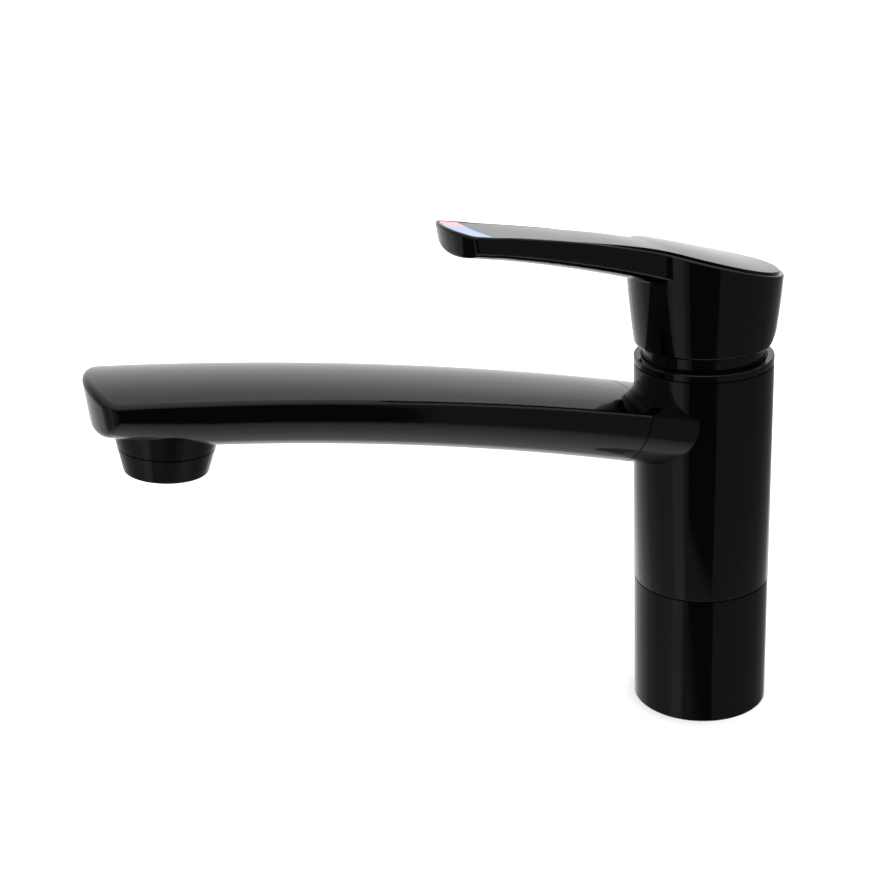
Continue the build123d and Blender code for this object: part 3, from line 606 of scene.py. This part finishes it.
@dataclass
class LeverTop:
    """The lever's casting with its low rim, and the crowned plate let into its top."""

    turn: float = 9.0  # degrees that the lever rests towards the cold side
    crown_radius: float = 220.0
    lift: float = 0.5  # how far the plate stands up over the barrel
    rim_drop: float = 0.5
    rim_above: float = 1.0  # the lowering reaches from this far above the top line
    rim_depth: float = 3.0  # to this far below it
    thickness: float = 0.9
    crown_fade: tuple[float, float] = (52.0, 83.0)  # distances from the axis where it starts and ends
    step_fade: tuple[float, float] = (26.0, 56.0)

    disc_radius: float = 23.5
    waist_radius: float = 11.5
    waist_centre: float = 21.8
    waist_start: float = 18.38
    waist_end: float = 27.38
    bar_half: float = 10.3
    flare_start: float = 76.0
    flare_length: float = 8.0
    tip_start: float = 84.0
    tip_half: float = 11.5
    end_radius: float = 31.0
    end_centre: float = 60.9
    corner_radius: float = 1.5
    corner_from: float = 0.98  # the share of the half-width where the rounded corners begin

    line_degree: int = 5
    line_slack: float = 0.12
    cells_across: int = 48
    disc_rows: int = 30
    bar_rows: int = 120
    end_rows: int = 30

    def line(self, node: bpy.types.Object) -> np.poly1d:
        """Reads the plate's top line from its CAD node.

        Args:
            node: the CAD plate.

        Returns:
            The height as a polynomial over the distance from the axis.
        """
        back = Matrix.Rotation(math.radians(-self.turn), 3, "Z")
        spots = [back @ v.co / MM for v in node.data.vertices]
        best: dict[int, tuple[float, float]] = {}
        for spot in spots:
            key = round(-spot.y)
            if key not in best or spot.z > best[key][1]:
                best[key] = (-spot.y, spot.z)
        # the second pass leaves out millimetres where only the underside has a point
        for _ in range(2):
            reaches = [reach for reach, _ in best.values()]
            heights = [height for _, height in best.values()]
            fit = np.poly1d(np.polyfit(reaches, heights, self.line_degree))
            best = {k: b for k, b in best.items() if b[1] > fit(b[0]) - self.line_slack}
        return fit

    def crown_share(self, reach: float) -> float:
        """Gives the share of the crown: whole over barrel and bar, none at the marks."""
        start, end = self.crown_fade
        return 1.0 - smooth((reach - start) / (end - start))

    def step_share(self, reach: float) -> float:
        """Gives the share of the step between plate and rim: whole over the barrel, none on the bar."""
        start, end = self.step_fade
        return 1.0 - smooth((reach - start) / (end - start))

    def half(self, reach: float) -> float:
        """Gives the plate's half-width: disc, waist, bar and flare."""
        if reach <= self.waist_start:
            return math.sqrt(max(0.0, self.disc_radius**2 - reach**2))
        if reach < self.waist_end:
            back = self.waist_end - reach
            return self.waist_centre - math.sqrt(max(0.0, self.waist_radius**2 - back**2))
        flare = smooth((reach - self.flare_start) / self.flare_length)
        return self.bar_half + (self.tip_half - self.bar_half) * flare

    def end_reach(self, x: float) -> float:
        """Gives the distance from the axis to the plate's curved end."""
        return self.end_centre + math.sqrt(self.end_radius**2 - x * x)

    def spot(self, top: np.poly1d, x: float, reach: float, width: float) -> Point:
        """Gives a point of the crowned top, turned with the lever.

        Args:
            top: the top line.
            x: the place across the lever.
            reach: the distance from the axis.
            width: the plate's half-width there.

        Returns:
            The point.
        """
        crown = self.crown_share(reach) * max(0.0, width**2 - x * x) / (2 * self.crown_radius)
        z = float(top(reach)) + self.step_share(reach) * self.lift + crown
        a = math.radians(self.turn)
        return (x * math.cos(a) + reach * math.sin(a), x * math.sin(a) - reach * math.cos(a), z)

    def plan(self) -> list[list[tuple[float, float, float]]]:
        """Lays the plate out in rows of x, distance from the axis, and half-width."""
        places = across(self.cells_across)
        quarter = [math.pi / 2 * i / self.disc_rows for i in range(self.disc_rows)]
        stations = [-self.disc_radius * math.cos(angle) for angle in quarter]
        stations += [self.tip_start * i / self.bar_rows for i in range(self.bar_rows + 1)]
        rows = [[(t * self.half(r), r, self.half(r)) for t in places] for r in stations]
        corner_start = self.end_reach(self.tip_half) - self.corner_radius
        for i in range(1, self.end_rows + 1):
            share = math.sin(math.pi / 2 * i / self.end_rows)
            row = []
            for t in places:
                reach = self.tip_start + (self.end_reach(t * self.tip_half) - self.tip_start) * share
                width = self.tip_half
                if abs(t) > self.corner_from:
                    into = min(self.corner_radius, max(0.0, reach - corner_start))
                    width += math.sqrt(max(0.0, self.corner_radius**2 - into**2)) - self.corner_radius
                row.append((t * width, reach, self.tip_half))
            rows.append(row)
        return rows

    def build_plate(self, top: np.poly1d, finish: bpy.types.Material) -> bpy.types.Object:
        """Builds the plate as one smooth crowned sheet with a straight side.

        Args:
            top: the top line.
            finish: the lacquer.

        Returns:
            The plate.
        """
        cells = [cell for row in self.plan() for cell in row]
        upper = [self.spot(top, *cell) for cell in cells]
        lower = [
            (x, y, z - self.thickness - self.lift * self.step_share(reach))
            for (x, y, z), (_, reach, _) in zip(upper, cells)
        ]
        n = self.cells_across
        m, count = n + 1, len(upper)
        last = count // m - 1
        faces = []
        for j in range(last):
            here, there = j * m, (j + 1) * m
            for i in range(n):
                quad = (here + i, here + i + 1, there + i + 1, there + i)
                faces += [quad, tuple(count + q for q in reversed(quad))]
            faces += [
                (here, there, count + there, count + here),
                (here + n, count + here + n, count + there + n, there + n),
            ]
        end = last * m
        faces += [(end + i, end + i + 1, count + end + i + 1, count + end + i) for i in range(n)]
        mesh = close_mesh("lever_plate_skin", upper + lower, faces)
        piece = place_piece("lever_plate_skin", mesh, finish, "lever", sharp=40.0)
        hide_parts("handle_plate")
        return piece

    def build_casting(
        self, top: np.poly1d, node: bpy.types.Object, finish: bpy.types.Material
    ) -> bpy.types.Object:
        """Copies the casting and lowers the rim round the plate.

        Args:
            top: the top line.
            node: the CAD casting.
            finish: the lacquer.

        Returns:
            The casting.
        """
        mesh = node.data.copy()
        mesh.name = "lever_casting_skin"
        work = bmesh.new()
        work.from_mesh(mesh)
        bmesh.ops.remove_doubles(work, verts=work.verts, dist=MERGE)
        back = Matrix.Rotation(math.radians(-self.turn), 3, "Z")
        for vert in work.verts:
            spot = back @ vert.co / MM
            depth = float(top(-spot.y)) - spot.z
            if -self.rim_above < depth < self.rim_depth:
                share = self.step_share(-spot.y) * (1 - max(0.0, depth) / self.rim_depth)
                vert.co.z -= self.rim_drop * share * MM
        work.to_mesh(mesh)
        work.free()
        piece = place_piece("lever_casting_skin", mesh, finish, "lever", sharp=40.0)
        even = piece.modifiers.new("even_shading", "WEIGHTED_NORMAL")
        even.keep_sharp = True
        even.weight = 90
        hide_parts("handle_body")
        return piece

    def build(self, frame: dict, finish: bpy.types.Material) -> None:
        """Builds the plate and the casting.

        Args:
            frame: the loaded frame.
            finish: the lacquer.
        """
        top = self.line(frame["nodes"]["handle_plate"])
        self.build_plate(top, finish)
        self.build_casting(top, frame["nodes"]["handle_body"], finish)


@dataclass
class NodePattern:
    """A Geometry Nodes tree with named sizes in metres, baked to one plain mesh."""

    name: str
    sizes: dict[str, float]

    def start(self) -> tuple[bpy.types.NodeTree, bpy.types.Node]:
        """Makes the tree and its named inputs."""
        tree = bpy.data.node_groups.new(self.name, "GeometryNodeTree")
        tree.interface.new_socket(name="Geometry", in_out="OUTPUT", socket_type="NodeSocketGeometry")
        for label in self.sizes:
            tree.interface.new_socket(name=label, in_out="INPUT", socket_type="NodeSocketFloat")
        return tree, add_node(tree, "NodeGroupInput")

    def bake(
        self, tree: bpy.types.NodeTree, last: bpy.types.NodeSocket, finish: bpy.types.Material
    ) -> bpy.types.Mesh:
        """Ends the tree, gives it its sizes and returns the result as a mesh.

        Args:
            tree: the tree.
            last: the output that carries the geometry.
            finish: the material set on it.

        Returns:
            The baked mesh.
        """
        real = add_node(tree, "GeometryNodeRealizeInstances", {"Geometry": last})
        dressed = add_node(
            tree, "GeometryNodeSetMaterial", {"Geometry": real.outputs[0], "Material": finish}
        )
        add_node(tree, "NodeGroupOutput", {0: dressed.outputs[0]})
        holder = bpy.data.objects.new(self.name, bpy.data.meshes.new(self.name))
        bpy.context.scene.collection.objects.link(holder)
        pattern = holder.modifiers.new(self.name, "NODES")
        pattern.node_group = tree
        for item in tree.interface.items_tree:
            if item.in_out == "INPUT":
                pattern[item.identifier] = self.sizes[item.name]
        bpy.context.view_layer.update()
        solved = holder.evaluated_get(bpy.context.evaluated_depsgraph_get())
        mesh = bpy.data.meshes.new_from_object(solved)
        bpy.data.objects.remove(holder)
        return mesh


@dataclass
class AeratorScreen:
    """The woven steel strainer across the aerator's mouth."""

    radius: float = 9.1
    pitch: float = 0.9
    wire: float = 0.14
    overlap: float = 1.7  # wire radii from one layer's middle to the other's
    seam: Point = (0.0, -178.3, 123.7)  # the middle of the seam above the housing
    lean: float = 6.5
    depth: float = 7.35  # from the seam down to the screen

    def place(self) -> tuple[Point, float]:
        """Gives the screen's middle in metres and its tilt in radians."""
        tilt = math.radians(self.lean)
        down = (0.0, -math.sin(tilt) * self.depth, -math.cos(tilt) * self.depth)
        return tuple((self.seam[i] + down[i]) * MM for i in range(3)), tilt

    def lay_wires(
        self,
        tree: bpy.types.NodeTree,
        radius: bpy.types.NodeSocket,
        pitch: bpy.types.NodeSocket,
        wire: bpy.types.NodeSocket,
    ) -> bpy.types.NodeSocket:
        """Lays one row of wires side by side, each as long as the circle is wide there.

        Args:
            tree: the screen's tree.
            radius: the circle's radius.
            pitch: the distance from wire to wire.
            wire: a wire's radius.

        Returns:
            The row's output.
        """
        span = add_node(tree, "ShaderNodeMath", {0: radius, 1: pitch}, operation="DIVIDE")
        steps = add_node(tree, "ShaderNodeMath", {0: span.outputs[0]}, operation="FLOOR")
        count = add_node(
            tree, "ShaderNodeMath", {0: steps.outputs[0], 1: 2.0, 2: 1.0}, operation="MULTIPLY_ADD"
        )
        first = add_node(tree, "ShaderNodeMath", {0: steps.outputs[0], 1: pitch}, operation="MULTIPLY")
        left = add_node(tree, "ShaderNodeMath", {0: first.outputs[0], 1: -1.0}, operation="MULTIPLY")
        begin = add_node(tree, "ShaderNodeCombineXYZ", {"X": left.outputs[0]})
        stride = add_node(tree, "ShaderNodeCombineXYZ", {"X": pitch})
        row = add_node(
            tree,
            "GeometryNodeMeshLine",
            {
                "Count": count.outputs[0],
                "Start Location": begin.outputs[0],
                "Offset": stride.outputs[0],
            },
        )
        # a chord's half-length is the root of 1 - (x / radius) squared
        where = add_node(tree, "GeometryNodeInputPosition")
        split = add_node(tree, "ShaderNodeSeparateXYZ", {0: where.outputs[0]})
        share = add_node(tree, "ShaderNodeMath", {0: split.outputs["X"], 1: radius}, operation="DIVIDE")
        square = add_node(
            tree, "ShaderNodeMath", {0: share.outputs[0], 1: share.outputs[0]}, operation="MULTIPLY"
        )
        rest = add_node(tree, "ShaderNodeMath", {0: 1.0, 1: square.outputs[0]}, operation="SUBTRACT")
        chord = add_node(tree, "ShaderNodeMath", {0: rest.outputs[0]}, operation="SQRT")
        length = add_node(tree, "ShaderNodeMath", {0: radius, 1: 2.0}, operation="MULTIPLY")
        strand = add_node(
            tree,
            "GeometryNodeMeshCylinder",
            {"Vertices": 8, "Radius": wire, "Depth": length.outputs[0]},
        )
        scale = add_node(tree, "ShaderNodeCombineXYZ", {"X": 1.0, "Y": 1.0, "Z": chord.outputs[0]})
        wires = add_node(
            tree,
            "GeometryNodeInstanceOnPoints",
            {
                "Points": row.outputs[0],
                "Instance": strand.outputs["Mesh"],
                "Rotation": (math.pi / 2, 0, 0),
                "Scale": scale.outputs[0],
            },
        )
        return wires.outputs[0]

    def build(self, finish: bpy.types.Material) -> bpy.types.Object:
        """Makes the screen from two crossed rows of wires."""
        sizes = {"Radius": self.radius * MM, "Pitch": self.pitch * MM, "Wire": self.wire * MM}
        pattern = NodePattern("aerator_screen", sizes)
        tree, given = pattern.start()
        wire = given.outputs["Wire"]
        warp = self.lay_wires(tree, given.outputs["Radius"], given.outputs["Pitch"], wire)
        over = add_node(tree, "ShaderNodeMath", {0: wire, 1: self.overlap}, operation="MULTIPLY")
        above = add_node(tree, "ShaderNodeCombineXYZ", {"Z": over.outputs[0]})
        weft = add_node(
            tree,
            "GeometryNodeTransform",
            {"Geometry": warp, "Translation": above.outputs[0], "Rotation": (0, 0, math.pi / 2)},
        )
        both = add_node(tree, "GeometryNodeJoinGeometry", {0: warp})
        tree.links.new(weft.outputs[0], both.inputs[0])
        spot, tilt = self.place()
        laid = add_node(
            tree,
            "GeometryNodeTransform",
            {"Geometry": both.outputs[0], "Translation": spot, "Rotation": (-tilt, 0, 0)},
        )
        mesh = pattern.bake(tree, laid.outputs[0], finish)
        return place_piece("aerator_screen", mesh, finish, "swivel_spout")


@dataclass
class InletThread:
    """The thread cut in a hole of the base, as a fine helical crest."""

    name: str
    place: Point
    radius: float
    length: float
    pitch: float
    sunk: float = 0.06  # how far the crest's middle lies in the wall
    crest_share: float = 0.2  # the crest's radius as a share of the pitch

    def build(self, finish: bpy.types.Material) -> bpy.types.Object:
        """Winds the thread's crest up its hole."""
        sizes = {
            "Radius": (self.radius + self.sunk) * MM,
            "Length": self.length * MM,
            "Pitch": self.pitch * MM,
            "Crest": self.crest_share * self.pitch * MM,
        }
        pattern = NodePattern(self.name, sizes)
        tree, given = pattern.start()
        rounds = add_node(
            tree,
            "ShaderNodeMath",
            {0: given.outputs["Length"], 1: given.outputs["Pitch"]},
            operation="DIVIDE",
        )
        spiral = add_node(
            tree,
            "GeometryNodeCurveSpiral",
            {
                "Resolution": 40,
                "Rotations": rounds.outputs[0],
                "Start Radius": given.outputs["Radius"],
                "End Radius": given.outputs["Radius"],
                "Height": given.outputs["Length"],
            },
        )
        crest = add_node(
            tree,
            "GeometryNodeCurvePrimitiveCircle",
            {"Resolution": 6, "Radius": given.outputs["Crest"]},
        )
        ridge = add_node(
            tree,
            "GeometryNodeCurveToMesh",
            {"Curve": spiral.outputs[0], "Profile Curve": crest.outputs[0], "Fill Caps": True},
        )
        laid = add_node(
            tree,
            "GeometryNodeTransform",
            {"Geometry": ridge.outputs[0], "Translation": tuple(p * MM for p in self.place)},
        )
        mesh = pattern.bake(tree, laid.outputs[0], finish)
        return place_piece(self.name, mesh, finish, "tap_body", sharp=60.0)


# --- Studio -------------------------------------------------------------------
class Sight(Enum):
    """What a piece of the studio shows itself to."""

    EYE_ONLY = "eye"
    MIRRORS_ONLY = "mirrors"


@dataclass
class Studio:
    """Plain pale floor, soft surroundings and the camera. Its sizes are in metres."""

    camera_place: Point = (0.47176, -0.24037, 0.30591)
    heading: tuple[float, float] = (-0.9537, 0.3008)
    pitch: float = -21.643
    roll: float = -2.725
    lens_mm: float = 68.14
    sensor_mm: float = 36.0
    floor_half: float = 6.0
    card_near: tuple[float, float] = (0.270, -0.017)
    card_far: tuple[float, float] = (0.340, -0.396)
    card_low: float = -0.27
    card_high: float = 0.30
    card_glow: float = 0.03
    lamp_strength: float = 4.0
    lamp_spread: float = 120.0

    # brightness of the walls by direction, in degrees from +X towards +Y
    walls: Stops = (
        (0, 0.15),
        (45, 0.14),
        (85, 0.13),
        (105, 0.18),
        (122, 0.28),
        (138, 0.75),
        (150, 1.0),
        (182, 0.95),
        (200, 0.68),
        (217, 0.46),
        (235, 0.26),
        (258, 0.20),
        (280, 0.24),
        (288, 0.36),
        (300, 0.34),
        (306, 0.15),
        (360, 0.15),
    )
    # brightness of ground and ceiling, and how much of the walls shows, both over
    # (1 + sine of the elevation) / 2
    ceiling: Stops = (
        (0.0, 0.60),
        (0.055, 0.50),
        (0.09, 0.30),
        (0.13, 0.0),
        (0.70, 0.0),
        (0.86, 0.62),
        (1.0, 0.78),
    )
    wall_cover: Stops = ((0.055, 0.0), (0.13, 1.0), (0.68, 1.0), (0.88, 0.0))

    def build_camera(self) -> None:
        """Stands the camera a little above the lever, looking slightly down."""
        ahead = Vector((*self.heading, 0)).normalized()
        pitch, roll = math.radians(self.pitch), math.radians(self.roll)
        forward = ahead * math.cos(pitch) + Vector((0, 0, math.sin(pitch)))
        level = Vector((-ahead.y, ahead.x, 0)) * -1
        upward = level.cross(forward)
        right = level * math.cos(roll) + upward * math.sin(roll)
        up = upward * math.cos(roll) - level * math.sin(roll)
        data = bpy.data.cameras.new("camera")
        data.lens = self.lens_mm
        data.sensor_width = self.sensor_mm
        camera = bpy.data.objects.new("camera", data)
        place = Matrix((right, up, -forward)).transposed().to_4x4()
        place.translation = Vector(self.camera_place)
        camera.matrix_world = place
        bpy.context.scene.collection.objects.link(camera)
        bpy.context.scene.camera = camera

    def show(self, thing: bpy.types.Object, sight: Sight) -> None:
        """Puts a piece of the studio in the scene.

        Args:
            thing: the piece.
            sight: what it shows itself to.
        """
        if sight is Sight.EYE_ONLY:
            thing.visible_glossy = False
        else:
            thing.visible_camera = thing.visible_diffuse = thing.visible_shadow = False
        bpy.context.scene.collection.objects.link(thing)

    def build_floor(self) -> None:
        """Lays the pale floor. Reflections look past it to the surroundings."""
        s = self.floor_half
        mesh = bpy.data.meshes.new("studio_floor")
        mesh.from_pydata([(-s, -s, 0), (s, -s, 0), (s, s, 0), (-s, s, 0)], [], [(0, 1, 2, 3)])
        material, tree, shader, place = new_material("white_paper")
        fibres = add_node(tree, "ShaderNodeTexNoise", {"Vector": place, "Scale": 6.0, "Detail": 4.0})
        tone = add_node(
            tree,
            "ShaderNodeMix",
            {"Factor": fibres.outputs["Fac"], "A": srgb("#f4f4f4"), "B": srgb("#f8f8f8")},
            data_type="RGBA",
        )
        tree.links.new(tone.outputs["Result"], shader.inputs["Base Color"])
        shader.inputs["Roughness"].default_value = 0.9
        shader.inputs["Specular IOR Level"].default_value = 0.0
        mesh.materials.append(material)
        self.show(bpy.data.objects.new("studio_floor", mesh), Sight.EYE_ONLY)

    def build_surroundings(self) -> None:
        """Lights the room: a bright wall behind, grey sides, a soft panel above."""
        world = bpy.data.worlds.new("studio")
        world.use_nodes = True
        bpy.context.scene.world = world
        tree = world.node_tree
        background = tree.nodes["Background"]
        place = add_node(tree, "ShaderNodeTexCoord")
        split = add_node(tree, "ShaderNodeSeparateXYZ", {"Vector": place.outputs["Generated"]})
        turn = add_node(
            tree, "ShaderNodeMath", {0: split.outputs["Y"], 1: split.outputs["X"]}, operation="ARCTAN2"
        )
        laps = add_node(tree, "ShaderNodeMath", {0: turn.outputs[0], 1: 2 * math.pi}, operation="DIVIDE")
        share = add_node(tree, "ShaderNodeMath", {0: laps.outputs[0]}, operation="FRACT")
        wall = add_node(tree, "ShaderNodeValToRGB", {"Fac": share.outputs[0]})
        set_stops(wall.color_ramp, tuple((degrees / 360, level) for degrees, level in self.walls))
        height = add_node(
            tree,
            "ShaderNodeMapRange",
            {"Value": split.outputs["Z"], "From Min": -1.0, "From Max": 1.0},
        )
        ceiling = add_node(tree, "ShaderNodeValToRGB", {"Fac": height.outputs["Result"]})
        set_stops(ceiling.color_ramp, self.ceiling)
        cover = add_node(tree, "ShaderNodeValToRGB", {"Fac": height.outputs["Result"]})
        set_stops(cover.color_ramp, self.wall_cover)
        walls = add_node(
            tree,
            "ShaderNodeMath",
            {0: wall.outputs["Color"], 1: cover.outputs["Color"]},
            operation="MULTIPLY",
        )
        both = add_node(
            tree, "ShaderNodeMath", {0: walls.outputs[0], 1: ceiling.outputs["Color"]}, operation="ADD"
        )
        # the eye itself sees plain white behind the floor's edge
        seen = add_node(tree, "ShaderNodeLightPath")
        light = add_node(
            tree,
            "ShaderNodeMix",
            {"Factor": seen.outputs["Is Camera Ray"], "A": both.outputs[0], "B": 1.0},
            data_type="FLOAT",
        )
        tree.links.new(light.outputs["Result"], background.inputs["Color"])

    def soften_card(
        self, tree: bpy.types.NodeTree, shader: bpy.types.Node, place: bpy.types.NodeSocket
    ) -> None:
        """Thins the felt out towards its edges, so that its reflection ends softly.

        Args:
            tree: the felt's tree.
            shader: its Principled shader.
            place: the Object coordinates.
        """
        split = add_node(tree, "ShaderNodeSeparateXYZ", {0: place})
        edges = (
            ("Z", self.card_low, -0.15),
            ("Z", self.card_high, 0.20),
            ("Y", self.card_near[1], -0.037),
            ("Y", -0.40, -0.36),
        )
        solid = None
        for axis, clear, full in edges:
            edge = add_node(
                tree,
                "ShaderNodeMapRange",
                {"Value": split.outputs[axis], "From Min": clear, "From Max": full},
                interpolation_type="SMOOTHSTEP",
            )
            if solid is None:
                solid = edge.outputs["Result"]
            else:
                product = add_node(
                    tree, "ShaderNodeMath", {0: solid, 1: edge.outputs["Result"]}, operation="MULTIPLY"
                )
                solid = product.outputs[0]
        tree.links.new(solid, shader.inputs["Alpha"])

    def build_card(self) -> None:
        """Stands the dark card that shields the camera; only reflections see it."""
        mesh = bpy.data.meshes.new("dark_card")
        ends = (self.card_near, self.card_far)
        corners = [(x, y, z) for x, y in ends for z in (self.card_low, self.card_high)]
        mesh.from_pydata(corners, [], [(0, 2, 3, 1)])
        material, tree, shader, place = new_material("black_felt")
        shader.inputs["Base Color"].default_value = srgb("#000000")
        shader.inputs["Roughness"].default_value = 1.0
        shader.inputs["Specular IOR Level"].default_value = 0.0
        shader.inputs["Emission Color"].default_value = srgb("#ffffff")
        shader.inputs["Emission Strength"].default_value = self.card_glow
        self.soften_card(tree, shader, place)
        mesh.materials.append(material)
        self.show(bpy.data.objects.new("dark_card", mesh), Sight.MIRRORS_ONLY)

    def build_lamp(self) -> None:
        """Hangs a wide soft lamp that brightens the floor."""
        data = bpy.data.lights.new("soft_lamp", "SUN")
        data.energy = self.lamp_strength
        data.angle = math.radians(self.lamp_spread)
        lamp = bpy.data.objects.new("soft_lamp", data)
        lamp.visible_glossy = False
        bpy.context.scene.collection.objects.link(lamp)

    def build(self) -> None:
        """Builds the whole studio."""
        self.build_camera()
        self.build_floor()
        self.build_surroundings()
        self.build_card()
        self.build_lamp()
        bpy.context.scene.view_settings.view_transform = "Standard"
        LOG.info("studio: camera, floor, surroundings and lamp")


def dress_nodes(frame: dict, finishes: dict[str, bpy.types.Material]) -> None:
    """Gives every CAD node the finish of its slot, but the glides a near-black painted shade instead.

    Args:
        frame: the loaded frame.
        finishes: a material for each slot, and the near-black painted shade for the glides.
    """
    for entry in frame["record"]["subparts"]:
        # painted shade: the glides are drawn near-black instead of their slot's finish, since they show
        # only as a dark line in the shaded seam
        glide = entry["node"].startswith("swivel_glide")
        finish = finishes["glide_painted_shade" if glide else entry["material_slot"]]
        for holder in frame["nodes"][entry["node"]].material_slots:
            holder.material = finish
    LOG.info("finishes: %d on %d parts", len(finishes), len(frame["nodes"]))


def main() -> None:
    """Builds every piece in order and reports it."""
    logging.basicConfig(level=logging.INFO, format="%(message)s")
    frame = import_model()
    Studio().build()
    finishes = make_finishes()
    dress_nodes(frame, finishes)
    SpoutSleeve().build(finishes["black_lacquer"])
    LOG.info("sleeve: turned wall and stub")
    LeverTop().build(frame, finishes["black_lacquer"])
    LOG.info("lever: casting and crowned plate")
    AeratorScreen().build(finishes["stainless_steel"])
    for thread in (
        InletThread("cold_inlet_thread", (8.2, 2.5, 72.4), 4.5, 11.0, 1.0),
        InletThread("hot_inlet_thread", (-8.2, 2.5, 72.4), 4.5, 11.0, 1.0),
        InletThread("stud_hole_thread", (0.0, -9.0, 72.5), 3.4, 12.5, 1.25),
    ):
        thread.build(finishes["brass"])
    LOG.info("aerator screen and three threads")


if __name__ == "__main__":
    main()
